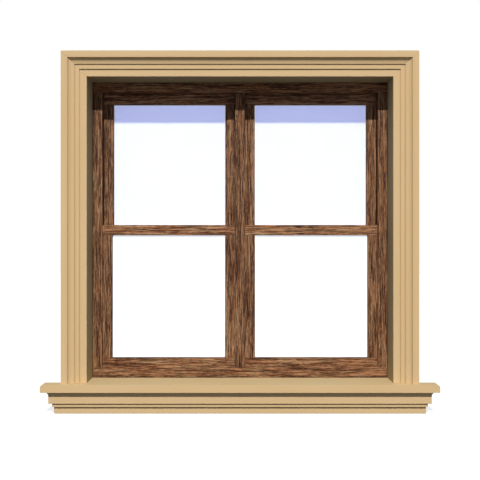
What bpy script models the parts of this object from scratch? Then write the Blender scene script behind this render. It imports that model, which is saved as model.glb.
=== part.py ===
"""Window surround: moulded casing, sill and apron around a pair of sliding sash windows.

Run with blender --background --python part.py, or from Blender's text editor.
Sizes are in metres. X runs along the sill, +Y goes into the wall and +Z is up.
The wall's face is the plane Y = 0, and the origin is the middle of the apron's back.
"""

import math

import bmesh
import bpy

# Opening inside the casing
OPENING_WIDTH = 1.2000
OPENING_HEIGHT = 1.2000

# Clearances
JOINT_GAP = 0.0003  # between pieces that touch
RUNNING_GAP = 0.0015  # between a sliding sash and the frame at its sides
TRACK_GAP = 0.0014  # between the two sashes of a light, front to back
TONGUE_PLAY = 0.0010  # between a sliding sash's tongue and each wall of its groove

# Casing, from the opening outwards
FASCIA_WIDTH = 0.0283
FASCIA_PROUD = 0.0140
BAND_WIDTH = 0.0185
BAND_STEP = 0.0041
COVE_WIDTH = 0.0233
QUIRK_STEP = 0.0036
COVE_START_SLOPE = math.radians(5)  # from the wall's plane, beside the band
COVE_END_SLOPE = math.radians(44)  # and beside the backband
COVE_SEGMENTS = 8
FILLET_RISE = 0.0034
BACKBAND_WIDTH = 0.0262
BACKBAND_EASE = 0.0006

# Reveal linings
LINING_THICKNESS = 0.0200
REVEAL_DEPTH = 0.0992  # from the wall's face to the timber frame's face

# Sill
SILL_THICKNESS = 0.0300
SILL_PROUD = 0.0530
SILL_HORN = 0.0764  # past the casing's outer edge, at each end
SILL_ROUND = 0.0100
SILL_ROUND_SEGMENTS = 6

# Apron, from the sill down
CROWN_END_INSET = 0.0272  # from the sill's end
CROWN_HEIGHT = 0.0465
CROWN_PROUD = 0.0328
CROWN_FLARE = 0.0090
CROWN_FLARE_HEIGHT = 0.0170
CROWN_FLARE_TURN = math.radians(45)
CROWN_FLARE_SEGMENTS = 5
CROWN_EASE = 0.0010
MIDDLE_HEIGHT = 0.0135
MIDDLE_PROUD = 0.0262
MIDDLE_END_INSET = 0.0135  # from the crown's end
FOOT_HEIGHT = 0.0277
FOOT_PROUD = 0.0179
FOOT_END_INSET = 0.0055  # from the middle tier's end
FOOT_EASE = 0.0010
EASE_SEGMENTS = 3

# Timber frame
JAMB_WIDTH = 0.0400
HEAD_HEIGHT = 0.0400
FOOT_RAIL_HEIGHT = 0.0415
MULLION_WIDTH = 0.0400
STOP_LAP = 0.0120
STOP_THICKNESS = 0.0200
GROOVE_WIDTH = 0.0120
GROOVE_DEPTH = 0.0090

# Sashes
SASH_THICKNESS = 0.0320
LOWER_SASH_HEIGHT = 0.5790
STILE_WIDTH = 0.0385
TOP_RAIL_HEIGHT = 0.0428
MEETING_RAIL_HEIGHT = 0.0404
BOTTOM_RAIL_HEIGHT = 0.0395
TONGUE_THICKNESS = GROOVE_WIDTH - 2 * TONGUE_PLAY

# Glass
UPPER_GLASS_SETBACK = 0.0103  # from a sash's face to its pane
LOWER_GLASS_SETBACK = 0.0070
GLASS_THICKNESS = 0.0060
GLASS_BITE = 0.0070  # the pane's edge hidden in each stile and rail

# Places that follow from the sizes
HALF_OPENING = OPENING_WIDTH / 2
CASING_WIDTH = FASCIA_WIDTH + BAND_WIDTH + COVE_WIDTH + BACKBAND_WIDTH
APRON_HEIGHT = CROWN_HEIGHT + MIDDLE_HEIGHT + FOOT_HEIGHT
APRON_TOP = APRON_HEIGHT / 2
SILL_BOTTOM = APRON_TOP + JOINT_GAP
SILL_TOP = SILL_BOTTOM + SILL_THICKNESS
HEAD_LINE = SILL_TOP + OPENING_HEIGHT
HALF_SILL = HALF_OPENING + CASING_WIDTH + SILL_HORN
HALF_CROWN = HALF_SILL - CROWN_END_INSET
HALF_MIDDLE = HALF_CROWN - MIDDLE_END_INSET
HALF_FOOT = HALF_MIDDLE - FOOT_END_INSET
FRAME_FACE = REVEAL_DEPTH
UPPER_TRACK = FRAME_FACE + SASH_THICKNESS + TRACK_GAP
STOP_FACE = UPPER_TRACK + SASH_THICKNESS + JOINT_GAP
FRAME_BACK = STOP_FACE + STOP_THICKNESS
FRAME_HALF = HALF_OPENING - JOINT_GAP
FRAME_TOP = HEAD_LINE - JOINT_GAP
FRAME_FOOT = SILL_TOP + JOINT_GAP
HEAD_SOFFIT = HEAD_LINE - HEAD_HEIGHT
FOOT_RAIL_TOP = SILL_TOP + FOOT_RAIL_HEIGHT
LIGHT_OUTER = HALF_OPENING - JAMB_WIDTH
LIGHT_INNER = MULLION_WIDTH / 2
SASH_OUTER = LIGHT_OUTER - RUNNING_GAP
SASH_INNER = LIGHT_INNER + RUNNING_GAP
LOWER_SASH_FOOT = FOOT_RAIL_TOP + JOINT_GAP
MEETING_TOP = LOWER_SASH_FOOT + LOWER_SASH_HEIGHT
MEETING_FOOT = MEETING_TOP - MEETING_RAIL_HEIGHT
UPPER_SASH_TOP = HEAD_SOFFIT - JOINT_GAP

# Finishes: linear colour, roughness, how opaque
FINISHES = {
    "painted_timber": ((0.62, 0.45, 0.25), 0.60, 1.0),
    "stained_timber": ((0.18, 0.085, 0.045), 0.45, 1.0),
    "glass": ((0.90, 0.92, 0.95), 0.03, 0.35),
}


def clear_scene():
    """Remove every object that the scene starts with."""
    for thing in list(bpy.data.objects):
        bpy.data.objects.remove(thing, do_unlink=True)


def make_finish(name):
    """Make one Principled material from the finish table."""
    colour, roughness, opacity = FINISHES[name]
    finish = bpy.data.materials.new(name)
    finish.use_nodes = True
    shader = finish.node_tree.nodes["Principled BSDF"]
    shader.inputs["Base Color"].default_value = (*colour, 1.0)
    shader.inputs["Roughness"].default_value = roughness
    shader.inputs["Metallic"].default_value = 0.0
    shader.inputs["Alpha"].default_value = opacity
    return finish


def add_parent(name, place, parent=None):
    """Add an empty that carries a group of pieces, at a place in the surround's own frame."""
    empty = bpy.data.objects.new(name, None)
    empty.location = place
    empty.parent = parent
    bpy.context.scene.collection.objects.link(empty)
    return empty


def add_piece(name, solid, finish, parent):
    """Turn a finished bmesh, modelled in place, into a named object with its parent's origin."""
    bmesh.ops.translate(solid, vec=-parent.location, verts=solid.verts)
    bmesh.ops.recalc_face_normals(solid, faces=solid.faces)
    mesh = bpy.data.meshes.new(name)
    solid.to_mesh(mesh)
    solid.free()
    mesh.materials.append(finish)
    piece = bpy.data.objects.new(name, mesh)
    piece.parent = parent
    bpy.context.scene.collection.objects.link(piece)


def push_section(run, section, start, end):
    """Push a section of (across, deep) corners along an axis, cut by start and end.

    On a bar along X, across is the height. On one along Z, across is X. Each cut is a
    function of across, so a mitre is a cut that changes with it.
    """
    along, across = {"X": (0, 2), "Z": (2, 0)}[run]
    solid = bmesh.new()
    corners = []
    for width, deep in section:
        place = [0.0, deep, 0.0]
        place[along] = start(width)
        place[across] = width
        corners.append(solid.verts.new(place))
    first = solid.faces.new(corners)
    grown = bmesh.ops.extrude_face_region(solid, geom=[first])["geom"]
    for corner in grown:
        if isinstance(corner, bmesh.types.BMVert):
            corner.co[along] = end(corner.co[across])
    return solid


def square_cut(place):
    """A cut square to the bar."""
    return lambda across: place


def stack_tiers(levels):
    """Stack rectangles of (half length, proud, height) into one solid with a flat back."""
    solid = bmesh.new()
    half, proud, height = levels[0]
    corners = [(-half, 0), (half, 0), (half, -proud), (-half, -proud)]
    face = solid.faces.new([solid.verts.new((x, y, height)) for x, y in corners])
    for number, level in enumerate(levels[1:]):
        grown = bmesh.ops.extrude_face_region(solid, geom=[face])["geom"]
        if number:
            bmesh.ops.delete(solid, geom=[face], context="FACES_ONLY")
        raised = [item for item in grown if isinstance(item, bmesh.types.BMVert)]
        face = next(item for item in grown if isinstance(item, bmesh.types.BMFace))
        half, proud, height = level
        for corner in raised:
            corner.co.x = math.copysign(half, corner.co.x)
            corner.co.y = -proud if corner.co.y < 0 else 0.0
            corner.co.z = height
    backs = [side for side in solid.faces if all(corner.co.y == 0 for corner in side.verts)]
    bmesh.ops.dissolve_faces(solid, faces=backs)
    return solid


def eased_corner(centre, radius, start_turn, end_turn):
    """Points of an arc about centre, from one turn to another, ends included."""
    points = []
    for step in range(EASE_SEGMENTS + 1):
        turn = start_turn + (end_turn - start_turn) * step / EASE_SEGMENTS
        points.append((centre[0] + radius * math.cos(turn), centre[1] + radius * math.sin(turn)))
    return points


def casing_section():
    """The casing's corners as (outwards from the opening, proud of the wall).

    The back lies on the wall, and is cut back a little where it laps over the lining's edge.
    """
    lap = LINING_THICKNESS + JOINT_GAP
    band_proud = FASCIA_PROUD + BAND_STEP
    cove_proud = band_proud + QUIRK_STEP
    cove_radius = COVE_WIDTH / (math.sin(COVE_END_SLOPE) - math.sin(COVE_START_SLOPE))
    cove_rise = cove_radius * (math.cos(COVE_START_SLOPE) - math.cos(COVE_END_SLOPE))
    backband_proud = cove_proud + cove_rise + FILLET_RISE
    band_start = FASCIA_WIDTH
    cove_start = band_start + BAND_WIDTH
    backband_start = cove_start + COVE_WIDTH
    corners = [(lap, 0.0), (lap, JOINT_GAP), (0.0, JOINT_GAP)]
    corners += [(0.0, FASCIA_PROUD), (band_start, FASCIA_PROUD)]
    corners += [(band_start, band_proud), (cove_start, band_proud)]
    for step in range(COVE_SEGMENTS + 1):
        slope = COVE_START_SLOPE + (COVE_END_SLOPE - COVE_START_SLOPE) * step / COVE_SEGMENTS
        out = cove_start + cove_radius * (math.sin(slope) - math.sin(COVE_START_SLOPE))
        corners.append((out, cove_proud + cove_radius * (math.cos(COVE_START_SLOPE) - math.cos(slope))))
    shoulder = backband_proud - BACKBAND_EASE
    corners += eased_corner(
        (backband_start + BACKBAND_EASE, shoulder), BACKBAND_EASE, math.pi, math.pi / 2
    )
    corners += eased_corner((CASING_WIDTH - BACKBAND_EASE, shoulder), BACKBAND_EASE, math.pi / 2, 0.0)
    corners.append((CASING_WIDTH, 0.0))
    return corners


def build_casing(finish, parent):
    """The moulded casing: a head and two legs, mitred where they meet."""
    section = casing_section()

    head = push_section(
        "X",
        [(HEAD_LINE + out, -proud) for out, proud in section],
        lambda height: -(HALF_OPENING + height - HEAD_LINE),
        lambda height: HALF_OPENING + height - HEAD_LINE,
    )
    add_piece("head_casing", head, finish, parent)

    mitre_gap = JOINT_GAP * math.sqrt(2)
    for name, side in (("left_casing", -1), ("right_casing", 1)):
        leg = push_section(
            "Z",
            [(side * (HALF_OPENING + out), -proud) for out, proud in section],
            square_cut(SILL_TOP + JOINT_GAP),
            lambda across: HEAD_LINE + abs(across) - HALF_OPENING - mitre_gap,
        )
        add_piece(name, leg, finish, parent)


def build_linings(finish, parent):
    """The boards that line the reveal, from the wall's face to the frame's back."""
    front = 0.0
    outer = HALF_OPENING + LINING_THICKNESS
    head = push_section(
        "X",
        [
            (HEAD_LINE, front),
            (HEAD_LINE + LINING_THICKNESS, front),
            (HEAD_LINE + LINING_THICKNESS, FRAME_BACK),
            (HEAD_LINE, FRAME_BACK),
        ],
        square_cut(-outer),
        square_cut(outer),
    )
    add_piece("head_lining", head, finish, parent)
    for name, side in (("left_lining", -1), ("right_lining", 1)):
        board = push_section(
            "Z",
            [
                (side * HALF_OPENING, front),
                (side * outer, front),
                (side * outer, FRAME_BACK),
                (side * HALF_OPENING, FRAME_BACK),
            ],
            square_cut(SILL_TOP + JOINT_GAP),
            square_cut(HEAD_LINE - JOINT_GAP),
        )
        add_piece(name, board, finish, parent)


def build_sill(finish, parent):
    """The sill: a board through the wall, with horns past the casing that are rounded at the top."""
    body = HALF_OPENING + LINING_THICKNESS
    plan = [
        (-HALF_SILL, -SILL_PROUD),
        (HALF_SILL, -SILL_PROUD),
        (HALF_SILL, 0.0),
        (body, 0.0),
        (body, FRAME_BACK),
        (-body, FRAME_BACK),
        (-body, 0.0),
        (-HALF_SILL, 0.0),
    ]
    board = push_section("Z", plan, square_cut(SILL_BOTTOM), square_cut(SILL_TOP))
    middle = (SILL_BOTTOM + SILL_TOP) / 2
    horn = HALF_OPENING + CASING_WIDTH

    def is_horn_top(edge):
        ends = [corner.co for corner in edge.verts]
        on_top = all(end.z > middle for end in ends)
        at_end = all(abs(end.x) > horn for end in ends) and ends[0].x == ends[1].x
        return on_top and at_end

    bmesh.ops.bevel(
        board,
        geom=[edge for edge in board.edges if is_horn_top(edge)],
        offset=SILL_ROUND,
        segments=SILL_ROUND_SEGMENTS,
        profile=0.5,
        affect="EDGES",
        material=-1,
    )
    add_piece("sill", board, finish, parent)


def build_apron(finish, parent):
    """The apron: a flared crown over two stepped bands, returned to the wall at both ends."""
    levels = []

    def add_level(half, proud, out, height):
        """Add the level where a tier of this half length and depth stands only so far out."""
        levels.append((half - proud + out, out, height))

    foot = -APRON_HEIGHT / 2
    middle_foot = foot + FOOT_HEIGHT
    crown_foot = middle_foot + MIDDLE_HEIGHT
    flare_foot = APRON_TOP - CROWN_FLARE_HEIGHT
    for out, height in eased_corner(
        (FOOT_PROUD - FOOT_EASE, foot + FOOT_EASE), FOOT_EASE, -math.pi / 2, 0.0
    ):
        add_level(HALF_FOOT, FOOT_PROUD, out, height)
    add_level(HALF_FOOT, FOOT_PROUD, FOOT_PROUD, middle_foot)
    add_level(HALF_MIDDLE, MIDDLE_PROUD, MIDDLE_PROUD, middle_foot)
    add_level(HALF_MIDDLE, MIDDLE_PROUD, MIDDLE_PROUD, crown_foot)
    for out, height in eased_corner(
        (CROWN_PROUD - CROWN_EASE, crown_foot + CROWN_EASE), CROWN_EASE, -math.pi / 2, 0.0
    ):
        add_level(HALF_CROWN, CROWN_PROUD, out, height)
    for step in range(CROWN_FLARE_SEGMENTS + 1):
        turn = CROWN_FLARE_TURN * step / CROWN_FLARE_SEGMENTS
        swell = (1 - math.cos(turn)) / (1 - math.cos(CROWN_FLARE_TURN))
        rise = math.sin(turn) / math.sin(CROWN_FLARE_TURN)
        out = CROWN_PROUD + CROWN_FLARE * swell
        add_level(HALF_CROWN, CROWN_PROUD, out, flare_foot + CROWN_FLARE_HEIGHT * rise)
    add_piece("apron", stack_tiers(levels), finish, parent)


def grooved_edge(edge, inwards):
    """A post's edge, front to back: a groove for each sash, then the stop behind them.

    edge is where the post meets the light, and inwards is the sign of the way into it.
    """
    corners = [(edge, FRAME_FACE)]
    for track in (FRAME_FACE, UPPER_TRACK):
        groove_front = track + (SASH_THICKNESS - GROOVE_WIDTH) / 2
        groove_back = groove_front + GROOVE_WIDTH
        bottom = edge - inwards * GROOVE_DEPTH
        corners += [(edge, groove_front), (bottom, groove_front), (bottom, groove_back), (edge, groove_back)]
    lap = edge + inwards * STOP_LAP
    corners += [(edge, STOP_FACE), (lap, STOP_FACE), (lap, FRAME_BACK)]
    return corners


def build_frame(finish, parent):
    """The timber frame: head, two jambs, mullion and foot rail, with the sash grooves."""
    head = push_section(
        "X",
        [
            (FRAME_TOP, FRAME_FACE),
            (HEAD_SOFFIT, FRAME_FACE),
            (HEAD_SOFFIT, FRAME_BACK),
            (FRAME_TOP, FRAME_BACK),
        ],
        square_cut(-FRAME_HALF),
        square_cut(FRAME_HALF),
    )
    add_piece("frame_head", head, finish, parent)

    foot = push_section(
        "X",
        [
            (FRAME_FOOT, FRAME_FACE),
            (FOOT_RAIL_TOP, FRAME_FACE),
            (FOOT_RAIL_TOP, FRAME_BACK),
            (FRAME_FOOT, FRAME_BACK),
        ],
        square_cut(-FRAME_HALF),
        square_cut(FRAME_HALF),
    )
    add_piece("frame_foot_rail", foot, finish, parent)

    posts = {"mullion": grooved_edge(-LIGHT_INNER, -1) + grooved_edge(LIGHT_INNER, 1)[::-1]}
    for name, side in (("left_jamb", -1), ("right_jamb", 1)):
        outer = [(side * FRAME_HALF, FRAME_BACK), (side * FRAME_HALF, FRAME_FACE)]
        posts[name] = grooved_edge(side * LIGHT_OUTER, -side) + outer
    for name, section in posts.items():
        post = push_section(
            "Z", section, square_cut(FOOT_RAIL_TOP + JOINT_GAP), square_cut(HEAD_SOFFIT - JOINT_GAP)
        )
        add_piece(name, post, finish, parent)


def pane_groove(pane_front):
    """Front and back of the groove that holds the pane."""
    return pane_front - JOINT_GAP, pane_front + GLASS_THICKNESS + JOINT_GAP


def rail_section(face, pane_front, foot, top, groove_side):
    """A rail's corners as (height, deep), with the pane's groove above it (1) or below it (-1)."""
    groove_front, groove_back = pane_groove(pane_front)
    back = face + SASH_THICKNESS
    edge = top if groove_side > 0 else foot
    plain = foot if groove_side > 0 else top
    bottom = edge - groove_side * (GLASS_BITE + JOINT_GAP)
    return [
        (plain, face),
        (edge, face),
        (edge, groove_front),
        (bottom, groove_front),
        (bottom, groove_back),
        (edge, groove_back),
        (edge, back),
        (plain, back),
    ]


def stile_section(face, pane_front, edge, inwards, tongue_length, tongue_thickness):
    """A stile's corners as (x, deep): a tongue on its outer edge, the pane's groove on the other.

    edge is the stile's outer edge, and inwards is the sign of the way from it to the pane.
    """
    groove_front, groove_back = pane_groove(pane_front)
    back = face + SASH_THICKNESS
    pane_edge = edge + inwards * STILE_WIDTH
    bottom = pane_edge - inwards * (GLASS_BITE + JOINT_GAP)
    tip = edge - inwards * tongue_length
    tongue_front = face + (SASH_THICKNESS - tongue_thickness) / 2
    tongue_back = tongue_front + tongue_thickness
    return [
        (edge, face),
        (pane_edge, face),
        (pane_edge, groove_front),
        (bottom, groove_front),
        (bottom, groove_back),
        (pane_edge, groove_back),
        (pane_edge, back),
        (edge, back),
        (edge, tongue_back),
        (tip, tongue_back),
        (tip, tongue_front),
        (edge, tongue_front),
    ]


def build_sash(name, side, sash, timber, glass, parent):
    """One sash: two rails across its whole width, two stiles between them, and the pane.

    side is -1 for the left light and 1 for the right one. sash holds the face, foot, top,
    rail heights, pane's depth and tongue of this level of sashes.
    """
    outer, inner = side * SASH_OUTER, side * SASH_INNER
    left, right = min(outer, inner), max(outer, inner)
    foot_rail_top = sash["foot"] + sash["foot_rail"]
    top_rail_foot = sash["top"] - sash["top_rail"]
    pane_front = sash["face"] + sash["setback"]
    pane_back = pane_front + GLASS_THICKNESS

    rails = {
        sash["foot_name"]: (sash["foot"], foot_rail_top, 1),
        sash["top_name"]: (top_rail_foot, sash["top"], -1),
    }
    for rail_name, (foot, top, groove_side) in rails.items():
        section = rail_section(sash["face"], pane_front, foot, top, groove_side)
        rail = push_section("X", section, square_cut(left), square_cut(right))
        add_piece(f"{name}_{rail_name}", rail, timber, parent)

    for stile_name, edge, inwards in (("left_stile", left, 1), ("right_stile", right, -1)):
        section = stile_section(
            sash["face"],
            pane_front,
            edge,
            inwards,
            sash["tongue_length"],
            sash["tongue_thickness"],
        )
        stile = push_section(
            "Z", section, square_cut(foot_rail_top + JOINT_GAP), square_cut(top_rail_foot - JOINT_GAP)
        )
        add_piece(f"{name}_{stile_name}", stile, timber, parent)

    pane_left = left + STILE_WIDTH - GLASS_BITE
    pane_right = right - STILE_WIDTH + GLASS_BITE
    outline = [
        (pane_left, pane_front),
        (pane_right, pane_front),
        (pane_right, pane_back),
        (pane_left, pane_back),
    ]
    pane = push_section(
        "Z", outline, square_cut(foot_rail_top - GLASS_BITE), square_cut(top_rail_foot + GLASS_BITE)
    )
    add_piece(f"{name}_pane", pane, glass, parent)


def build_sashes(timber, glass, parent):
    """Both lights: a fixed upper sash in the back track and a lower one that slides up in front."""
    upper = {
        "face": UPPER_TRACK,
        "foot": MEETING_FOOT,
        "top": UPPER_SASH_TOP,
        "foot_name": "meeting_rail",
        "foot_rail": MEETING_RAIL_HEIGHT,
        "top_name": "top_rail",
        "top_rail": TOP_RAIL_HEIGHT,
        "setback": UPPER_GLASS_SETBACK,
        "tongue_length": RUNNING_GAP + GROOVE_DEPTH - JOINT_GAP,
        "tongue_thickness": GROOVE_WIDTH - 2 * JOINT_GAP,
    }
    lower = {
        "face": FRAME_FACE,
        "foot": LOWER_SASH_FOOT,
        "top": MEETING_TOP,
        "foot_name": "bottom_rail",
        "foot_rail": BOTTOM_RAIL_HEIGHT,
        "top_name": "meeting_rail",
        "top_rail": MEETING_RAIL_HEIGHT,
        "setback": LOWER_GLASS_SETBACK,
        "tongue_length": GROOVE_DEPTH,
        "tongue_thickness": TONGUE_THICKNESS,
    }
    for light, side in (("left", -1), ("right", 1)):
        for level, sash in (("upper", upper), ("lower", lower)):
            middle = side * (SASH_OUTER + SASH_INNER) / 2
            place = (middle, sash["face"] + SASH_THICKNESS / 2, sash["foot"])
            carrier = add_parent(f"{light}_{level}_sash", place, parent)
            build_sash(f"{light}_{level}", side, sash, timber, glass, carrier)


def main():
    """Build the surround and its window."""
    clear_scene()
    painted = make_finish("painted_timber")
    stained = make_finish("stained_timber")
    glass = make_finish("glass")
    surround = add_parent("surround", (0, 0, 0))
    build_casing(painted, surround)
    build_linings(painted, surround)
    build_sill(painted, surround)
    build_apron(painted, surround)
    build_frame(stained, surround)
    build_sashes(stained, glass, surround)


main()
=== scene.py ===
"""Dress the window surround: painted mouldings, stained sliding sashes, clear panes, a studio.

Sizes are in metres. X runs along the sill, +Y goes into the wall and +Z is up.
"""

import math
import random

import bmesh
import bpy
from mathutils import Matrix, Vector
from mathutils.geometry import intersect_point_line


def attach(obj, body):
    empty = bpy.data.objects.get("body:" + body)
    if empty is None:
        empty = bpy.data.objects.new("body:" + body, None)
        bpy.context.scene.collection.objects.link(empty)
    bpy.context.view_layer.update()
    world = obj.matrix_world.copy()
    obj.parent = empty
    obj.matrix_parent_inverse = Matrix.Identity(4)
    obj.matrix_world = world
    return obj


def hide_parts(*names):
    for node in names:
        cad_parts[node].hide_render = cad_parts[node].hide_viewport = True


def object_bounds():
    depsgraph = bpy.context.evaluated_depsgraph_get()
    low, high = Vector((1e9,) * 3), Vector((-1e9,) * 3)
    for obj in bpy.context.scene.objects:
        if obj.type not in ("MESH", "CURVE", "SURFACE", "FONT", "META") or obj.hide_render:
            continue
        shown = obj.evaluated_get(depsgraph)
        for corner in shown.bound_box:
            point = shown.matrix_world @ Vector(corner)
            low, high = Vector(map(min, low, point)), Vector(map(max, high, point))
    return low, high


bl_info = {
    "name": "Window Surround Finisher",
    "version": (1, 0, 0),
    "blender": (4, 5, 0),
    "location": "View3D > Sidebar > Surround",
    "description": "Paints and stains the pieces of a window surround and sets up its studio",
    "category": "Object",
}

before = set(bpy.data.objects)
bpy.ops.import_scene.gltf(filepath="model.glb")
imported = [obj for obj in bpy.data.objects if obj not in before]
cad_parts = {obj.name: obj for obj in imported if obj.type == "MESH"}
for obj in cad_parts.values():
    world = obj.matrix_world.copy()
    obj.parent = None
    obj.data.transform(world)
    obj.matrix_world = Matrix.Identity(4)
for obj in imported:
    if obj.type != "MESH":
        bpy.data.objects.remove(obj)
CAD_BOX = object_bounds()

# Pieces of each group, with the axis that the timber runs along
CASING = {"head_casing": "X", "left_casing": "Z", "right_casing": "Z"}
LININGS = {"head_lining": "X", "left_lining": "Z", "right_lining": "Z"}
SILL = {"sill": "X"}
APRON = {"apron": "X"}
TIMBER_FRAME = {
    "frame_head": "X",
    "frame_foot_rail": "X",
    "left_jamb": "Z",
    "right_jamb": "Z",
    "mullion": "Z",
}
LIGHTS = ("left_upper", "left_lower", "right_upper", "right_lower")
SASH_PARTS = {
    "top_rail": "X",
    "meeting_rail": "X",
    "bottom_rail": "X",
    "left_stile": "Z",
    "right_stile": "Z",
}
AXES = {"X": 0, "Y": 1, "Z": 2}

# Cleaning and easing the solids
MERGE_DISTANCE = 1e-6
FLAT_ANGLE = math.radians(0.3)
CORNER_ANGLE = math.radians(30)
SHARP_ANGLE = math.radians(50)
ALONG_RUN = 0.999  # how nearly an edge lies along its piece's run
ARRIS_SEGMENTS = 2
QUIRK_SHADE_REACH = 0.012  # how far from a quirk the last of its painted shade is

# Names of the mesh attributes that the finishes read
GRAIN = "grain"
ARRIS = "arris"
RECESS = "recess"
BOARD = "board"

# Sockets of a Mix node that mixes colours
MIX_AMOUNT = 0
MIX_FIRST = 6
MIX_SECOND = 7
MIX_RESULT = 2

# Paint: the scale of each noise in features to the metre, the last number along the run
BRUSH_SCALE = (420.0, 420.0, 5.0)
PATCH_SCALE = (9.0, 9.0, 3.0)
GRIT_SCALE = 900.0

# Paint: the span of a noise that each kind of wear and each painted shade grows over, and its share
# of the colour
BRUSH_SPAN = (0.3, 0.7)
BRUSH_SHARE = 0.25
FADED_SPAN = (0.35, 0.68)
FADED_SHARE = 0.55
# Painted shade in and beside the quirks
QUIRK_SHADE_SPAN = (0.3, 0.6)
QUIRK_SHADE_SHARE = (0.28, 0.44)
QUIRK_SHADE_FALL = 3.0  # the power with which the painted shade thins away from its quirk
RUBBED_PAINT_SPAN = (0.4, 0.6)
RUBBED_PAINT_SHARE = (0.1, 0.6)
LEVEL_SPAN = (0.8, 1.0)  # how much a face looks up, where the painted shade on the level faces lies
# Painted shade on the level faces
TOP_SHADE_SPAN = (0.3, 0.7)
TOP_SHADE_SHARE = (0.2, 0.32)
LINING_FADE = 1.06  # how much lighter the linings' faded paint is

# Paint: its gloss and relief
BRUSH_ROUGHNESS = (-0.06, 0.06)
PAINT_SPECULAR = 0.25
PAINT_BUMP = 0.25
GRIT_HEIGHT = 0.35  # beside the brush marks' height

# Timber: how light each kind of board is, by the end of its name. The frame head and the top rails
# are lightened as painted light, to lift the shade under the head.
BOARD_TONES_AND_SHADE_LIFT = {
    "frame_head": 1.35,
    "frame_foot_rail": 1.06,
    "top_rail": 1.35,
    "meeting_rail": 1.30,
    "bottom_rail": 1.21,
    "mullion": 0.90,
}
BOARD_SPREAD = 0.04  # how far a piece's tone is from its kind's
GRAIN_SHIFT = 3.0  # the furthest that a piece's grain is moved along each axis

# Timber: how much finer and longer than typical each layer's streaks are, and its shift
STREAKS = {
    "long": (1.0, 1.8, (0.0, 0.0, 0.0)),
    "short": (1.15, 0.45, (4.0, 6.0, 2.0)),
    "flecks": (1.3, 0.16, (7.0, 3.0, 6.0)),
    "bands": (0.22, 3.0, (3.0, 7.0, 1.0)),
    "threads": (1.4, 1.0, (9.0, 2.0, 5.0)),
    "hues": (0.6, 1.2, (5.0, 1.0, 8.0)),
}
TONE_SHARES = {"long": 0.34, "short": 0.28, "flecks": 0.16, "bands": 0.22}
FIBRE_SCALE = (1500.0, 1500.0, 45.0)
BEND_SCALE = (14.0, 14.0, 5.0)
BEND_REACH = (0.006, 0.006, 0.0)
NOISE_MIDDLE = (0.5, 0.5, 0.5)

# Timber: the tones at which each colour of the streaks is met
PORES_TONE = 0.41
DARK_TONE = 0.45
BODY_TONE = 0.505
LIGHT_TONE = 0.57

# Timber: the span of a noise that each mark grows over, and its share of the colour
HUE_SPAN = (0.35, 0.65)
RED_HUE = (1.0, 0.79, 0.68)
TAWNY_HUE = (1.0, 1.14, 1.22)
THREAD_SPAN = (0.37, 0.48)
THREAD_SHARE = (0.95, 0.0)
PORE_SPAN = (0.60, 0.72)
PORE_SHARE = (0.0, 0.55)
# Painted shade in the timber's inward corners
CORNER_SHADE_SHARE = 0.5
CORNER_SHADE_FALL = 4.0  # the power with which the painted shade thins away from an inward corner
SEAM_SHARE = 0.6
SEAM_NEAR = 0.001  # where the darkening along the frame's outer edge begins to thin
SEAM_FAR = 0.005  # where it ends
RUBBED_STAIN_SPAN = (0.4, 0.6)
RUBBED_STAIN_SHARE = (0.05, 0.45)

# Timber: its gloss and relief
SHEEN_SPAN = (0.4, 0.6)
STAIN_ROUGHNESS = (0.62, 0.48)
STAIN_SPECULAR = 0.2
STAIN_BUMP = 0.8
PORE_HEIGHT = 0.8  # beside the streaks' height

# Glass
UPPER_RIM = 0.003  # how far the painted sky reflection in an upper pane pales from its edge
LOWER_RIM = 0.012  # the same in a lower one, which the meeting rail shades
DARK_EDGE_FADE = 0.0003  # half the width over which the dark line on a pane's edge fades
SMEAR_SCALE = (6.0, 6.0, 11.0)
SMEAR_SPAN = (0.3, 0.7)
GLASS_ROUGHNESS = (0.02, 0.10)
FILM_SPAN = (0.4, 0.7)
FILM_SHARE = (0.0, 0.02)
RIPPLE_SCALE = 3.0
RIPPLE_BUMP = 0.2
RIPPLE_DEPTH = 0.0004
THROUGH_PANE = (-0.5, 0.5)  # the way a face looks, from the outer face to the inner one
GLASS_IOR = 1.5
BLACK = (0.0, 0.0, 0.0)

# Studio
FLOOR_HALF = 12.0
FLOOR_CELLS = 8
FLOOR_DROP = 0.001  # under the apron's foot
FLOOR_DARK = (0.27, 0.27, 0.27)
FLOOR_PALE = (0.30, 0.30, 0.30)
FLOOR_GLOW = 0.76
FLOOR_CLOUD_SCALE = 2.0
FLOOR_CLOUD_SPAN = (0.3, 0.7)
FLOOR_ROUGHNESS = (0.85, 0.95)
WHITE = (1.0, 1.0, 1.0)
LAMP_PLACE = (0.0, -3.0, 3.5)  # its light depends on the sun's height alone
GROUND_SPAN = (-1.0, 0.1)  # the sky's height, from straight below to just over the horizon
SENSOR_WIDTH = 36.0  # mm
FAR_CLIP = 100.0


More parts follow.
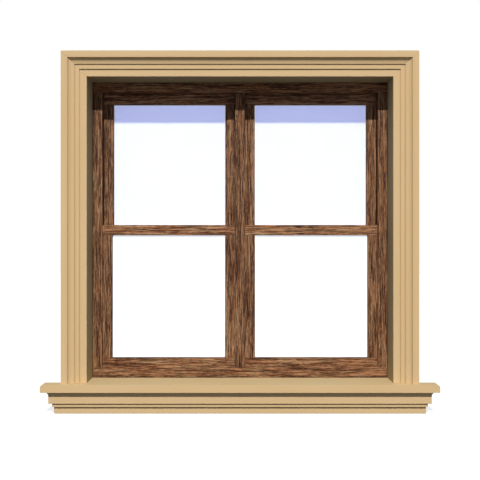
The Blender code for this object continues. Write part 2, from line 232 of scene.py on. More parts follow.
class PaintLook(bpy.types.PropertyGroup):
    """The paint on the casing, linings, sill and apron."""

    colour: bpy.props.FloatVectorProperty(
        name="Paint",
        description="Colour of the clean paint",
        subtype="COLOR",
        min=0.0,
        max=1.0,
        default=(0.578, 0.404, 0.206),
    )
    faded: bpy.props.FloatVectorProperty(
        name="Faded paint",
        description="Colour of the paint where the sun has faded it",
        subtype="COLOR",
        min=0.0,
        max=1.0,
        default=(0.620, 0.441, 0.237),
    )
    # A darker, greyer paint for the linings: painted shade in the reveal
    lining: bpy.props.FloatVectorProperty(
        name="Lining paint",
        description="Colour of the duller paint on the boards that line the reveal",
        subtype="COLOR",
        min=0.0,
        max=1.0,
        default=(0.450, 0.370, 0.200),
    )
    # Painted shade in and beside the quirks
    quirk_shade: bpy.props.FloatVectorProperty(
        name="Grime",
        description="Colour of the dirt that gathers in the quirks",
        subtype="COLOR",
        min=0.0,
        max=1.0,
        default=(0.285, 0.160, 0.030),
    )
    # Painted shade on the faces that look up, so that their tops are no brighter than the fronts
    dust: bpy.props.FloatVectorProperty(
        name="Dust",
        description="Colour of the dust that lies on the level faces",
        subtype="COLOR",
        min=0.0,
        max=1.0,
        default=(0.360, 0.360, 0.190),
    )
    arris: bpy.props.FloatProperty(
        name="Arris",
        description="How far the painted edges are eased",
        unit="LENGTH",
        min=0.0,
        default=0.0003,
    )
    brush_depth: bpy.props.FloatProperty(
        name="Brush depth",
        description="Depth of the marks that the brush left in the paint",
        unit="LENGTH",
        min=0.0,
        default=0.00005,
    )
    roughness: bpy.props.FloatProperty(
        name="Roughness",
        description="Roughness of the paint before its small variations",
        subtype="FACTOR",
        min=0.0,
        max=1.0,
        default=0.62,
    )


class StainLook(bpy.types.PropertyGroup):
    """The stained timber of the frame and the sashes."""

    body: bpy.props.FloatVectorProperty(
        name="Body",
        description="Colour of the timber between its streaks",
        subtype="COLOR",
        min=0.0,
        max=1.0,
        default=(0.205, 0.097, 0.044),
    )
    light: bpy.props.FloatVectorProperty(
        name="Light streaks",
        description="Colour of the palest streaks",
        subtype="COLOR",
        min=0.0,
        max=1.0,
        default=(0.365, 0.203, 0.102),
    )
    dark: bpy.props.FloatVectorProperty(
        name="Dark streaks",
        description="Colour of the dark streaks and threads",
        subtype="COLOR",
        min=0.0,
        max=1.0,
        default=(0.066, 0.024, 0.009),
    )
    # This colour also serves for the painted shade in inward corners and for the darkening along the
    # frame's outer edge
    pores: bpy.props.FloatVectorProperty(
        name="Pores",
        description="Colour of the fine open pores, and of the dirt in corners and seams",
        subtype="COLOR",
        min=0.0,
        max=1.0,
        default=(0.018, 0.007, 0.003),
    )
    streak_width: bpy.props.FloatProperty(
        name="Streak width",
        description="Width of a typical streak across the grain",
        unit="LENGTH",
        min=0.0001,
        default=0.0025,
    )
    streak_length: bpy.props.FloatProperty(
        name="Streak length",
        description="Length of a typical streak along the grain",
        unit="LENGTH",
        min=0.001,
        default=0.076,
    )
    arris: bpy.props.FloatProperty(
        name="Arris",
        description="How far the timber's edges are eased",
        unit="LENGTH",
        min=0.0,
        default=0.0005,
    )
    relief: bpy.props.FloatProperty(
        name="Relief",
        description="Depth of the open grain",
        unit="LENGTH",
        min=0.0,
        default=0.00015,
    )


class GlassLook(bpy.types.PropertyGroup):
    """The clear panes."""

    tint: bpy.props.FloatVectorProperty(
        name="Tint",
        description="Colour of the film of dust on the glass",
        subtype="COLOR",
        min=0.0,
        max=1.0,
        default=(1.0, 0.99, 0.98),
    )
    # Sky, room and horizon: a painted reflection, given as a glow of the glass
    sky: bpy.props.FloatVectorProperty(
        name="Sky",
        description="Colour of the sky's light in the glass's outer face",
        subtype="COLOR",
        min=0.0,
        max=1.0,
        default=(0.100, 0.175, 0.700),
    )
    room: bpy.props.FloatVectorProperty(
        name="Room",
        description="Colour of the fainter light in the glass's inner face",
        subtype="COLOR",
        min=0.0,
        max=1.0,
        default=(0.140, 0.150, 0.210),
    )
    horizon: bpy.props.FloatVectorProperty(
        name="Horizon",
        description="Colour of the paler light near the glass's edges",
        subtype="COLOR",
        min=0.0,
        max=1.0,
        default=(0.45, 0.465, 0.51),
    )
    # Strength of the painted reflection's glow
    painted_reflection_strength: bpy.props.FloatProperty(
        name="Sky strength",
        description="How much of the sky's light the glass gives back",
        min=0.0,
        default=0.755,
    )
    # Colour of the smears, and of the dark line round the pane's visible edge and over its hidden
    # part
    dirt: bpy.props.FloatVectorProperty(
        name="Dirt",
        description="Colour of the line of dirt round the glass's edge",
        subtype="COLOR",
        min=0.0,
        max=1.0,
        default=(0.050, 0.042, 0.035),
    )
    dark_edge_reach: bpy.props.FloatProperty(
        name="Dirt reach",
        description="How far the line of dirt comes in from the pane's edge, its hidden part with it",
        unit="LENGTH",
        min=0.0,
        default=0.0084,
    )
    opacity: bpy.props.FloatProperty(
        name="Opacity",
        description="How much each face of a pane hides what is behind it",
        subtype="FACTOR",
        min=0.0,
        max=1.0,
        default=0.53,
    )


class StudioLook(bpy.types.PropertyGroup):
    """The light, the floor and the camera."""

    sun_strength: bpy.props.FloatProperty(
        name="Sun",
        description="Strength of the light from high in front",
        min=0.0,
        default=3.8,
    )
    sun_height: bpy.props.FloatProperty(
        name="Sun height",
        description="Angle of the sun above the horizon",
        subtype="ANGLE",
        default=math.radians(45),
    )
    sun_size: bpy.props.FloatProperty(
        name="Sun size",
        description="How wide the sun looks, which softens its shadows",
        subtype="ANGLE",
        default=math.radians(1.5),
    )
    sky_level: bpy.props.FloatProperty(
        name="Sky level",
        description="Strength of the light from all round",
        min=0.0,
        default=0.34,
    )
    sun_colour: bpy.props.FloatVectorProperty(
        name="Sun colour",
        description="Colour of the sun",
        subtype="COLOR",
        min=0.0,
        default=(1.0, 0.985, 0.960),
    )
    sky_colour: bpy.props.FloatVectorProperty(
        name="Sky colour",
        description="Colour of the light from all round",
        subtype="COLOR",
        min=0.0,
        default=(0.94, 0.98, 1.08),
    )
    ground_level: bpy.props.FloatProperty(
        name="Ground level",
        description="Strength of the light from straight below",
        min=0.0,
        default=0.07,
    )
    backdrop: bpy.props.FloatProperty(
        name="Backdrop",
        description="Brightness of the plain white that the camera sees behind the object",
        min=0.0,
        default=1.0,
    )
    camera_distance: bpy.props.FloatProperty(
        name="Camera distance",
        description="From the camera to the wall's face",
        unit="LENGTH",
        default=2.8966,
    )
    camera_height: bpy.props.FloatProperty(
        name="Camera height",
        description="Height of the camera above the origin",
        unit="LENGTH",
        default=0.63415,
    )
    lens: bpy.props.FloatProperty(
        name="Lens",
        description="Focal length, for a sensor 36 mm wide",
        unit="CAMERA",
        default=55.275,
    )


# Node trees


def give(tree, socket, value):
    """Give a socket a value, or link another node's output to it."""
    if isinstance(value, bpy.types.NodeSocket):
        tree.links.new(value, socket)
    else:
        socket.default_value = value


def add_node(tree, kind, inputs, **settings):
    """Add a node with these settings and inputs, and return it."""
    node = tree.nodes.new(kind)
    for name, value in settings.items():
        setattr(node, name, value)
    for name, value in inputs.items():
        give(tree, node.inputs[name], value)
    return node


def read_attribute(tree, name, output):
    """The output of an attribute of the piece's own mesh."""
    return add_node(tree, "ShaderNodeAttribute", {}, attribute_name=name).outputs[output]


def place_on_object(tree):
    """Each point's place on its object."""
    return add_node(tree, "ShaderNodeTexCoord", {}).outputs["Object"]


def axes_of(tree, vector):
    """The three parts of a vector, by the names of their axes."""
    return add_node(tree, "ShaderNodeSeparateXYZ", {"Vector": vector}).outputs


def stretched(tree, vector, scale, shift=(0.0, 0.0, 0.0)):
    """A vector scaled along its own axes, then shifted."""
    inputs = {"Vector": vector, "Scale": scale, "Location": shift}
    return add_node(tree, "ShaderNodeMapping", inputs).outputs["Vector"]


def noise(tree, vector, detail, roughness=0.5, scale=1.0):
    """Soft noise of a number of features to each unit of its vector."""
    inputs = {"Vector": vector, "Scale": scale, "Detail": detail, "Roughness": roughness}
    return add_node(tree, "ShaderNodeTexNoise", inputs).outputs[0]


def remap(tree, value, span, onto=(0.0, 1.0)):
    """A value carried from one span onto another, held at its ends."""
    low, high = span
    to_low, to_high = onto
    inputs = {"Value": value, "From Min": low, "From Max": high, "To Min": to_low, "To Max": to_high}
    return add_node(tree, "ShaderNodeMapRange", inputs).outputs["Result"]


def result_of(tree, operation, first, second=0.0):
    """The result of one operation on two values."""
    return add_node(tree, "ShaderNodeMath", {0: first, 1: second}, operation=operation).outputs[0]


def product(tree, first, second):
    """Two values multiplied."""
    return result_of(tree, "MULTIPLY", first, second)


def total(tree, first, second):
    """Two values added."""
    return result_of(tree, "ADD", first, second)


def vector_result_of(tree, operation, first, second):
    """The result of one operation on two vectors."""
    inputs = {0: first, 1: second}
    return add_node(tree, "ShaderNodeVectorMath", inputs, operation=operation).outputs[0]


def mixed(tree, amount, first, second, kind="MIX"):
    """Two colours blended by an amount."""
    inputs = {MIX_AMOUNT: amount, MIX_FIRST: first, MIX_SECOND: second}
    node = tree.nodes.new("ShaderNodeMix")
    node.data_type = "RGBA"
    node.blend_type = kind
    for number, value in inputs.items():
        give(tree, node.inputs[number], value)
    return node.outputs[MIX_RESULT]


def ramp_of(tree, value, stops):
    """A colour picked by a value from (place, colour) stops, in rising order."""
    ramp = tree.nodes.new("ShaderNodeValToRGB")
    marks = ramp.color_ramp.elements
    for mark, (position, colour) in zip(marks, (stops[0], stops[-1])):
        mark.position = position
        mark.color = opaque(colour)
    for position, colour in stops[1:-1]:
        marks.new(position).color = opaque(colour)
    give(tree, ramp.inputs["Fac"], value)
    return ramp.outputs["Color"]


def give_relief(tree, shader, height, strength, depth):
    """Give a surface relief from a height."""
    inputs = {"Strength": strength, "Distance": depth, "Height": height}
    bump = add_node(tree, "ShaderNodeBump", inputs)
    give(tree, shader.inputs["Normal"], bump.outputs["Normal"])


def opaque(colour):
    """A colour with full alpha."""
    return (*colour, 1.0)


def new_finish(name):
    """A new material, with its tree and its shader."""
    finish = bpy.data.materials.new(name)
    finish.use_nodes = True
    return finish, finish.node_tree, finish.node_tree.nodes["Principled BSDF"]


# Finishes


def painted_timber(look, name, clean, faded_tone):
    """Brushed paint: faint brush marks, faded patches, painted shade in the quirks and on the level
    faces, rubbed arrises.
    """
    finish = bpy.data.materials.get(name)
    if finish:
        return finish
    finish, tree, shader = new_finish(name)
    grain = read_attribute(tree, GRAIN, "Vector")
    arris = read_attribute(tree, ARRIS, "Fac")
    recess = read_attribute(tree, RECESS, "Fac")
    brush = noise(tree, stretched(tree, grain, BRUSH_SCALE), detail=3.0, roughness=0.6)
    patches = noise(tree, stretched(tree, grain, PATCH_SCALE), detail=4.0, roughness=0.55)
    grit = noise(tree, grain, detail=2.0, scale=GRIT_SCALE)

    faded = product(tree, remap(tree, patches, FADED_SPAN), FADED_SHARE)
    brushed = product(tree, remap(tree, brush, BRUSH_SPAN), BRUSH_SHARE)
    colour = mixed(tree, total(tree, faded, brushed), opaque(clean), opaque(faded_tone))
    # Painted shade in and beside the quirks, thinning away from them
    near_quirk = result_of(tree, "POWER", recess, QUIRK_SHADE_FALL)
    quirk_shaded = product(tree, near_quirk, remap(tree, patches, QUIRK_SHADE_SPAN, QUIRK_SHADE_SHARE))
    colour = mixed(tree, quirk_shaded, colour, opaque(look.quirk_shade))
    rubbed = product(tree, arris, remap(tree, patches, RUBBED_PAINT_SPAN, RUBBED_PAINT_SHARE))
    colour = mixed(tree, rubbed, colour, opaque(faded_tone))
    # Painted shade on the faces that look up
    normal = add_node(tree, "ShaderNodeNewGeometry", {}).outputs["Normal"]
    level = remap(tree, axes_of(tree, normal)["Z"], LEVEL_SPAN)
    top_shaded = product(tree, level, remap(tree, patches, TOP_SHADE_SPAN, TOP_SHADE_SHARE))
    colour = mixed(tree, top_shaded, colour, opaque(look.dust))
    give(tree, shader.inputs["Base Color"], colour)

    rough = total(tree, remap(tree, brush, BRUSH_SPAN, BRUSH_ROUGHNESS), look.roughness)
    give(tree, shader.inputs["Roughness"], rough)
    shader.inputs["Specular IOR Level"].default_value = PAINT_SPECULAR
    height = total(tree, brush, product(tree, grit, GRIT_HEIGHT))
    give_relief(tree, shader, height, PAINT_BUMP, look.brush_depth)
    return finish


def extent(node, axis):
    """The lowest and highest places of a CAD solid along an axis."""
    spots = [corner.co[AXES[axis]] for corner in node.data.vertices]
    return min(spots), max(spots)


def darkening_at_seams(tree):
    """How much darker the frame is along its outer edge, where it meets the linings and the sill."""
    axes = axes_of(tree, place_on_object(tree))
    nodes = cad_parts
    side = extent(nodes["right_jamb"], "X")[1]
    head = extent(nodes["frame_head"], "Z")[1]
    foot = extent(nodes["frame_foot_rail"], "Z")[0]
    off_middle = result_of(tree, "ABSOLUTE", axes["X"])
    beside = remap(tree, off_middle, (side - SEAM_FAR, side - SEAM_NEAR))
    above = remap(tree, axes["Z"], (head - SEAM_FAR, head - SEAM_NEAR))
    below = remap(tree, axes["Z"], (foot + SEAM_NEAR, foot + SEAM_FAR), onto=(1.0, 0.0))
    return result_of(tree, "MAXIMUM", beside, result_of(tree, "MAXIMUM", above, below))


def wavy_grain(tree):
    """Each point's place in the timber, moved so that the grain wanders from side to side."""
    grain = read_attribute(tree, GRAIN, "Vector")
    bend = noise(tree, stretched(tree, grain, BEND_SCALE), detail=2.0).node.outputs["Color"]
    centred = vector_result_of(tree, "SUBTRACT", bend, NOISE_MIDDLE)
    sideways = vector_result_of(tree, "MULTIPLY", centred, BEND_REACH)
    return vector_result_of(tree, "ADD", grain, sideways)


def stained_timber(look):
    """Stained hardwood: streaks with wavy edges, thin dark threads and fine open pores."""
    finish = bpy.data.materials.get("brown_stain")
    if finish:
        return finish
    finish, tree, shader = new_finish("brown_stain")
    arris = read_attribute(tree, ARRIS, "Fac")
    recess = read_attribute(tree, RECESS, "Fac")
    grain = wavy_grain(tree)

    across = 1.0 / look.streak_width
    along = 1.0 / look.streak_length
    streaks = {}
    for name, (finer, longer, shift) in STREAKS.items():
        scale = (across * finer, across * finer, along / longer)
        streaks[name] = noise(tree, stretched(tree, grain, scale, shift), detail=1.0)
    fibres = noise(tree, stretched(tree, grain, FIBRE_SCALE), detail=2.0, roughness=0.6)

    layers = [product(tree, streaks[name], share) for name, share in TONE_SHARES.items()]
    tone = layers[0]
    for layer in layers[1:]:
        tone = total(tree, tone, layer)
    colour = ramp_of(
        tree,
        tone,
        (
            (PORES_TONE, look.pores),
            (DARK_TONE, look.dark),
            (BODY_TONE, look.body),
            (LIGHT_TONE, look.light),
        ),
    )

    hue = mixed(tree, remap(tree, streaks["hues"], HUE_SPAN), opaque(RED_HUE), opaque(TAWNY_HUE))
    colour = mixed(tree, 1.0, colour, hue, "MULTIPLY")
    thread = remap(tree, streaks["threads"], THREAD_SPAN, THREAD_SHARE)
    colour = mixed(tree, thread, colour, opaque(look.dark))
    pore = remap(tree, fibres, PORE_SPAN, PORE_SHARE)
    colour = mixed(tree, pore, colour, opaque(look.pores))
    # Each board's tone, with the frame head and top rails lightened as painted light
    colour = mixed(tree, 1.0, colour, read_attribute(tree, BOARD, "Color"), "MULTIPLY")
    # Painted shade in the inward corners, thinning away from them
    corner_shade = product(tree, result_of(tree, "POWER", recess, CORNER_SHADE_FALL), CORNER_SHADE_SHARE)
    colour = mixed(tree, corner_shade, colour, opaque(look.pores))
    # Darker along the frame's outer edge
    seam = product(tree, darkening_at_seams(tree), SEAM_SHARE)
    colour = mixed(tree, seam, colour, opaque(look.pores))
    worn = remap(tree, streaks["bands"], RUBBED_STAIN_SPAN, RUBBED_STAIN_SHARE)
    colour = mixed(tree, product(tree, arris, worn), colour, opaque(look.light))
    give(tree, shader.inputs["Base Color"], colour)

    give(tree, shader.inputs["Roughness"], remap(tree, tone, SHEEN_SPAN, STAIN_ROUGHNESS))
    shader.inputs["Specular IOR Level"].default_value = STAIN_SPECULAR
    height = result_of(tree, "SUBTRACT", tone, product(tree, pore, PORE_HEIGHT))
    give_relief(tree, shader, height, STAIN_BUMP, look.relief)
    return finish


def pane_masks(tree, look, pane):
    """Where a pane's painted reflection pales at its rim, and where the dark line round its edge is.
    """
    axes = axes_of(tree, place_on_object(tree))
    rim_width = LOWER_RIM if "lower" in pane.name else UPPER_RIM
    rims = []
    edges = []
    for axis in ("X", "Z"):
        low, high = extent(pane, axis)
        off_middle = result_of(tree, "SUBTRACT", axes[axis], (low + high) / 2)
        away = result_of(tree, "ABSOLUTE", off_middle)
        reach = (high - low) / 2 - look.dark_edge_reach
        rims.append(remap(tree, away, (reach - rim_width, reach - rim_width / 2)))
        edges.append(remap(tree, away, (reach - DARK_EDGE_FADE, reach + DARK_EDGE_FADE)))
    return result_of(tree, "MAXIMUM", *rims), result_of(tree, "MAXIMUM", *edges)


def clear_glass(look, pane):
    """Clear glass with a film of dust, a painted reflection of the sky that glows, faint smears and a
    dark line round its edge.
    """
    finish, tree, shader = new_finish(f"clear_glass_{pane.name}")
    place = place_on_object(tree)
    rim, edge = pane_masks(tree, look, pane)
    smears = noise(tree, stretched(tree, place, SMEAR_SCALE), detail=4.0, roughness=0.6)
    dirt = opaque(look.dirt)

    film = mixed(tree, remap(tree, smears, FILM_SPAN, FILM_SHARE), opaque(look.tint), dirt)
    # Dark round the pane's visible edge and over its hidden part
    give(tree, shader.inputs["Base Color"], mixed(tree, edge, film, dirt))
    give(tree, shader.inputs["Roughness"], remap(tree, smears, SMEAR_SPAN, GLASS_ROUGHNESS))
    ripple = noise(tree, place, detail=1.0, scale=RIPPLE_SCALE)
    give_relief(tree, shader, ripple, RIPPLE_BUMP, RIPPLE_DEPTH)

    # Painted reflection as a glow: the sky's colour in the outer face, a greyer one in the inner
    # face, paler at the rim, none at the dark edge
    facing = add_node(tree, "ShaderNodeTexCoord", {}).outputs["Normal"]
    inward = remap(tree, axes_of(tree, facing)["Y"], THROUGH_PANE)
    light = mixed(tree, inward, opaque(look.sky), opaque(look.room))
    light = mixed(tree, rim, light, opaque(look.horizon))
    give(tree, shader.inputs["Emission Color"], mixed(tree, edge, light, opaque(BLACK)))
    shader.inputs["Emission Strength"].default_value = look.painted_reflection_strength
    shader.inputs["Alpha"].default_value = look.opacity
    shader.inputs["IOR"].default_value = GLASS_IOR
    finish.surface_render_method = "BLENDED"
    return finish


def studio_floor():
    """A pale matt floor with a little light of its own, so that its shadows stay faint."""
    finish, tree, shader = new_finish("pale_floor")
    cloud = noise(tree, place_on_object(tree), detail=3.0, scale=FLOOR_CLOUD_SCALE)
    colour = mixed(tree, cloud, opaque(FLOOR_DARK), opaque(FLOOR_PALE))
    give(tree, shader.inputs["Base Color"], colour)
    rough = remap(tree, cloud, FLOOR_CLOUD_SPAN, FLOOR_ROUGHNESS)
    give(tree, shader.inputs["Roughness"], rough)
    shader.inputs["Specular IOR Level"].default_value = 0.0
    shader.inputs["Emission Color"].default_value = opaque(WHITE)
    shader.inputs["Emission Strength"].default_value = FLOOR_GLOW
    return finish


# Pieces


def lies_along(edge, run):
    """Whether an edge lies along its piece's run."""
    way = edge.verts[1].co - edge.verts[0].co
    return abs(way[AXES[run]]) > ALONG_RUN * way.length


def is_arris(edge, run):
    """Whether an edge stands out and, on a piece with a run, lies along it."""
    stands_out = edge.is_manifold and edge.calc_face_angle_signed() >= CORNER_ANGLE
    return stands_out and (run is None or lies_along(edge, run))


def is_quirk(edge, run):
    """Whether an edge is an inward corner that lies along its piece's run."""
    goes_in = edge.is_manifold and edge.calc_face_angle_signed() <= -CORNER_ANGLE
    return goes_in and lies_along(edge, run)


def cut_beside_quirks(solid, run):
    """Cut each wide face beside a quirk where the painted shade beside the quirk ends."""
    for edge in [edge for edge in solid.edges if is_quirk(edge, run)]:
        start = edge.verts[0].co.copy()
        along = (edge.verts[1].co - start).normalized()
        for face in list(edge.link_faces):
            across = face.normal.cross(along)
            if (face.calc_center_median() - start).dot(across) < 0.0:
                across.negate()
            width = max((corner.co - start).dot(across) for corner in face.verts)
            if width > QUIRK_SHADE_REACH + MERGE_DISTANCE:
                bmesh.ops.bisect_plane(
                    solid,
                    geom=[face, *face.edges, *face.verts],
                    dist=MERGE_DISTANCE,
                    plane_co=start + across * QUIRK_SHADE_REACH,
                    plane_no=across,
                )


def distance_to(place, start, end):
    """How far a place is from the straight stretch between two others."""
    nearest, along = intersect_point_line(place, start, end)
    if along < 0.0:
        nearest = start
    elif along > 1.0:
        nearest = end
    return (place - nearest).length


def note_wear_and_shade(solid, run, eased_faces, all_round):
    """Note on each corner whether it is on an eased arris, and how near a quirk it is, which sets the
    painted shade there.
    """
    arris = solid.verts.layers.float.new(ARRIS)
    recess = solid.verts.layers.float.new(RECESS)
    quirks = [
        [corner.co.copy() for corner in edge.verts] for edge in solid.edges if is_quirk(edge, run)
    ]
    for corner in solid.verts:
        eased = sum(face in eased_faces for face in corner.link_faces)
        flat = len(corner.link_faces) - eased
        on_arris = flat == 0 if all_round else eased >= ARRIS_SEGMENTS
        corner[arris] = 1.0 if on_arris else 0.0
        near = min((distance_to(corner.co, *quirk) for quirk in quirks), default=QUIRK_SHADE_REACH)
        corner[recess] = max(0.0, 1.0 - near / QUIRK_SHADE_REACH)


def note_grain(solid, run, name):
    """Note each corner's place in the timber, the third number along the grain, and its tone, with
    painted light in it for the frame head and top rails.
    """
    chance = random.Random(name)
    shift = Vector([chance.uniform(-GRAIN_SHIFT, GRAIN_SHIFT) for _ in range(3)])
    tone = 1.0 + chance.uniform(-BOARD_SPREAD, BOARD_SPREAD)
    for ending, share in BOARD_TONES_AND_SHADE_LIFT.items():
        if name.endswith(ending):
            tone *= share
    grain = solid.verts.layers.float_vector.new(GRAIN)
    board = solid.verts.layers.float_vector.new(BOARD)
    for corner in solid.verts:
        place = corner.co.zyx if run == "X" else corner.co
        corner[grain] = place + shift
        corner[board] = (tone, tone, tone)


def clean_copy(node):
    """A copy of a CAD solid, its loose triangles joined into whole faces."""
    solid = bmesh.new()
    solid.from_mesh(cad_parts[node].data)
    bmesh.ops.remove_doubles(solid, verts=solid.verts, dist=MERGE_DISTANCE)
    bmesh.ops.dissolve_limit(
        solid, angle_limit=FLAT_ANGLE, verts=solid.verts, edges=solid.edges
    )
    return solid


def dress(node, run, arris, finish, all_round=False):
    """Make a CAD solid's finished piece, with eased arrises, to stand in the solid's place."""
    solid = clean_copy(node)
    eased = bmesh.ops.bevel(
        solid,
        geom=[edge for edge in solid.edges if is_arris(edge, None if all_round else run)],
        offset=arris,
        offset_type="OFFSET",
        segments=ARRIS_SEGMENTS,
        profile=0.5,
        affect="EDGES",
        clamp_overlap=True,
        material=-1,
    )
    solid.normal_update()
    cut_beside_quirks(solid, run)
    note_wear_and_shade(solid, run, set(eased["faces"]), all_round)
    note_grain(solid, run, node)
    for face in solid.faces:
        face.smooth = True
        face.material_index = 0
    for edge in solid.edges:
        edge.smooth = not edge.is_manifold or abs(edge.calc_face_angle_signed()) < SHARP_ANGLE

    mesh = bpy.data.meshes.new(f"dressed_{node}")
    solid.to_mesh(mesh)
    solid.free()
    mesh.materials.append(finish)
    piece = bpy.data.objects.new(f"dressed_{node}", mesh)
    bpy.context.scene.collection.objects.link(piece)
    evened = piece.modifiers.new("Even shading", "WEIGHTED_NORMAL")
    evened.keep_sharp = True
    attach(piece, body_of(node))
    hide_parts(node)
    return piece


def body_of(node):
    """The body that a node rides on: the lower sashes slide, and all the rest is fixed."""
    for light in ("left", "right"):
        if node.startswith(f"{light}_lower_"):
            return f"{light}_lower_sash"
    return "surround"


def dress_painted(context, group, all_round=False):
    """Dress a group of pieces in the surround's own paint."""
    look = context.scene.surround_paint
    paint = painted_timber(look, "tan_paint", look.colour, look.faded)
    for node, run in group.items():
        dress(node, run, look.arris, paint, all_round)


def dress_stained(context, group):
    """Dress a group of stained pieces."""
    look = context.scene.surround_stain
    stain = stained_timber(look)
    for node, run in group.items():
        dress(node, run, look.arris, stain)


class SURROUND_OT_casing(bpy.types.Operator):
    """Dress the moulded casing: its head and two legs"""

    bl_idname = "surround.casing"
    bl_label = "Casing"

    def execute(self, context):
        dress_painted(context, CASING)
        return {"FINISHED"}


class SURROUND_OT_linings(bpy.types.Operator):
    """Dress the boards that line the reveal"""

    bl_idname = "surround.linings"
    bl_label = "Linings"

    def execute(self, context):
        # The linings take the darker paint, painted shade in the reveal
        look = context.scene.surround_paint
        worn = [tone * LINING_FADE for tone in look.lining]
        paint = painted_timber(look, "shaded_lining_paint", look.lining, worn)
        for node, run in LININGS.items():
            dress(node, run, look.arris, paint)
        return {"FINISHED"}


class SURROUND_OT_sill(bpy.types.Operator):
    """Dress the sill board"""

    bl_idname = "surround.sill"
    bl_label = "Sill"

    def execute(self, context):
        dress_painted(context, SILL, all_round=True)
        return {"FINISHED"}


class SURROUND_OT_apron(bpy.types.Operator):
    """Dress the stepped apron under the sill"""

    bl_idname = "surround.apron"
    bl_label = "Apron"

    def execute(self, context):
        dress_painted(context, APRON, all_round=True)
        return {"FINISHED"}


class SURROUND_OT_timber_frame(bpy.types.Operator):
    """Dress the frame: its head, foot rail, jambs and mullion"""

    bl_idname = "surround.timber_frame"
    bl_label = "Timber frame"

    def execute(self, context):
        dress_stained(context, TIMBER_FRAME)
        return {"FINISHED"}


class SURROUND_OT_sashes(bpy.types.Operator):
    """Dress the rails and stiles of the four sashes"""

    bl_idname = "surround.sashes"
    bl_label = "Sashes"

    def execute(self, context):
        rails_and_stiles = {
            f"{light}_{part}": run
            for light in LIGHTS
            for part, run in SASH_PARTS.items()
            if f"{light}_{part}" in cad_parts
        }
        dress_stained(context, rails_and_stiles)
        return {"FINISHED"}


class SURROUND_OT_panes(bpy.types.Operator):
    """Give the four panes their glass"""

    bl_idname = "surround.panes"
    bl_label = "Panes"

    def execute(self, context):
        for light in LIGHTS:
            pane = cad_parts[f"{light}_pane"]
            glass = clear_glass(context.scene.surround_glass, pane)
            for holder in pane.material_slots:
                holder.link = "OBJECT"
                holder.material = glass
            # Keeps the glass's own light off the timber and the floor
            pane.visible_diffuse = False
        return {"FINISHED"}


class SURROUND_OT_studio(bpy.types.Operator):
    """Set up the floor, the light from high in front, the sky and the camera"""

    bl_idname = "surround.studio"
    bl_label = "Studio"

    def execute(self, context):
        look = context.scene.surround_studio
        lay_floor(context)
        hang_sun(context, look)
        paint_sky(context, look)
        place_camera(context, look)
        context.scene.view_settings.view_transform = "Standard"
        return {"FINISHED"}


# Studio


def lay_floor(context):
    """Lay the floor just under the object."""
    ground = bmesh.new()
    bmesh.ops.create_grid(
        ground, x_segments=FLOOR_CELLS, y_segments=FLOOR_CELLS, size=FLOOR_HALF
    )
    bmesh.ops.translate(ground, vec=(0.0, 0.0, CAD_BOX[0].z - FLOOR_DROP), verts=ground.verts)
    mesh = bpy.data.meshes.new("studio_floor")
    ground.to_mesh(mesh)
    ground.free()
    mesh.materials.append(studio_floor())
    floor = bpy.data.objects.new("studio_floor", mesh)
    context.scene.collection.objects.link(floor)
    # Keeps the floor's own light off the object
    floor.visible_diffuse = False
    floor.visible_glossy = False


def hang_sun(context, look):
    """Hang the main light straight in front of the object, high up."""
    light = bpy.data.lights.new("high_light", "SUN")
    light.energy = look.sun_strength
    light.color = look.sun_colour
    light.angle = look.sun_size
    lamp = bpy.data.objects.new("high_light", light)
    lamp.rotation_euler = (math.pi / 2 - look.sun_height, 0.0, 0.0)
    lamp.location = LAMP_PLACE
    context.scene.collection.objects.link(lamp)


def paint_sky(context, look):
    """Light from all round, weaker from below, seen by the camera as plain white."""
    world = bpy.data.worlds.new("soft_studio")
    world.use_nodes = True
    tree = world.node_tree
    tree.nodes.clear()
    way = add_node(tree, "ShaderNodeTexCoord", {}).outputs["Generated"]
    levels = (look.ground_level, look.sky_level)
    level = remap(tree, axes_of(tree, way)["Z"], GROUND_SPAN, levels)
    soft = add_node(
        tree, "ShaderNodeBackground", {"Color": opaque(look.sky_colour), "Strength": level}
    )
    white = add_node(
        tree, "ShaderNodeBackground", {"Color": opaque(WHITE), "Strength": look.backdrop}
    )
    seen = add_node(tree, "ShaderNodeLightPath", {}).outputs["Is Camera Ray"]
    both = add_node(
        tree, "ShaderNodeMixShader", {0: seen, 1: soft.outputs[0], 2: white.outputs[0]}
    )
    add_node(tree, "ShaderNodeOutputWorld", {"Surface": both.outputs[0]})
    context.scene.world = world


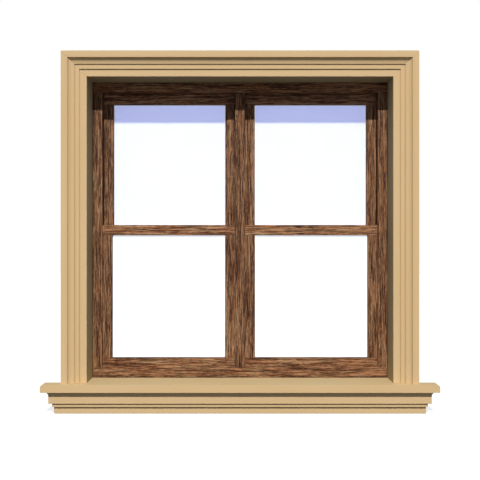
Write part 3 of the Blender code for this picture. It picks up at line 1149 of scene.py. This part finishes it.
def place_camera(context, look):
    """Place the camera level, in front of the middle of the object."""
    lens = bpy.data.cameras.new("front_camera")
    lens.sensor_width = SENSOR_WIDTH
    lens.lens = look.lens
    lens.clip_end = FAR_CLIP
    camera = bpy.data.objects.new("front_camera", lens)
    camera.location = (0.0, -look.camera_distance, look.camera_height)
    camera.rotation_euler = (math.pi / 2, 0.0, 0.0)
    context.scene.collection.objects.link(camera)
    context.scene.camera = camera


class SURROUND_PT_sidebar(bpy.types.Panel):
    """Sizes, colours and steps of the window surround"""

    bl_label = "Window surround"
    bl_idname = "SURROUND_PT_sidebar"
    bl_space_type = "VIEW_3D"
    bl_region_type = "UI"
    bl_category = "Surround"

    def draw(self, context):
        layout = self.layout
        for name, group in LOOKS.items():
            box = layout.box()
            box.label(text=group.__doc__)
            look = getattr(context.scene, name)
            for item in group.__annotations__:
                box.prop(look, item)
        for step in STEPS:
            layout.operator(step.bl_idname)


LOOKS = {
    "surround_paint": PaintLook,
    "surround_stain": StainLook,
    "surround_glass": GlassLook,
    "surround_studio": StudioLook,
}
STEPS = (
    SURROUND_OT_casing,
    SURROUND_OT_linings,
    SURROUND_OT_sill,
    SURROUND_OT_apron,
    SURROUND_OT_timber_frame,
    SURROUND_OT_sashes,
    SURROUND_OT_panes,
    SURROUND_OT_studio,
)
CLASSES = (*LOOKS.values(), *STEPS, SURROUND_PT_sidebar)


def register():
    """Register the classes and put the looks on the scene."""
    for item in CLASSES:
        bpy.utils.register_class(item)
    for name, group in LOOKS.items():
        setattr(bpy.types.Scene, name, bpy.props.PointerProperty(type=group))


def unregister():
    """Take the looks off the scene and unregister the classes."""
    for name in LOOKS:
        delattr(bpy.types.Scene, name)
    for item in reversed(CLASSES):
        bpy.utils.unregister_class(item)


def main():
    """Dress every piece and set up the studio."""
    register()
    bpy.ops.surround.casing()
    bpy.ops.surround.linings()
    bpy.ops.surround.sill()
    bpy.ops.surround.apron()
    bpy.ops.surround.timber_frame()
    bpy.ops.surround.sashes()
    bpy.ops.surround.panes()
    bpy.ops.surround.studio()


if __name__ == "__main__":
    main()
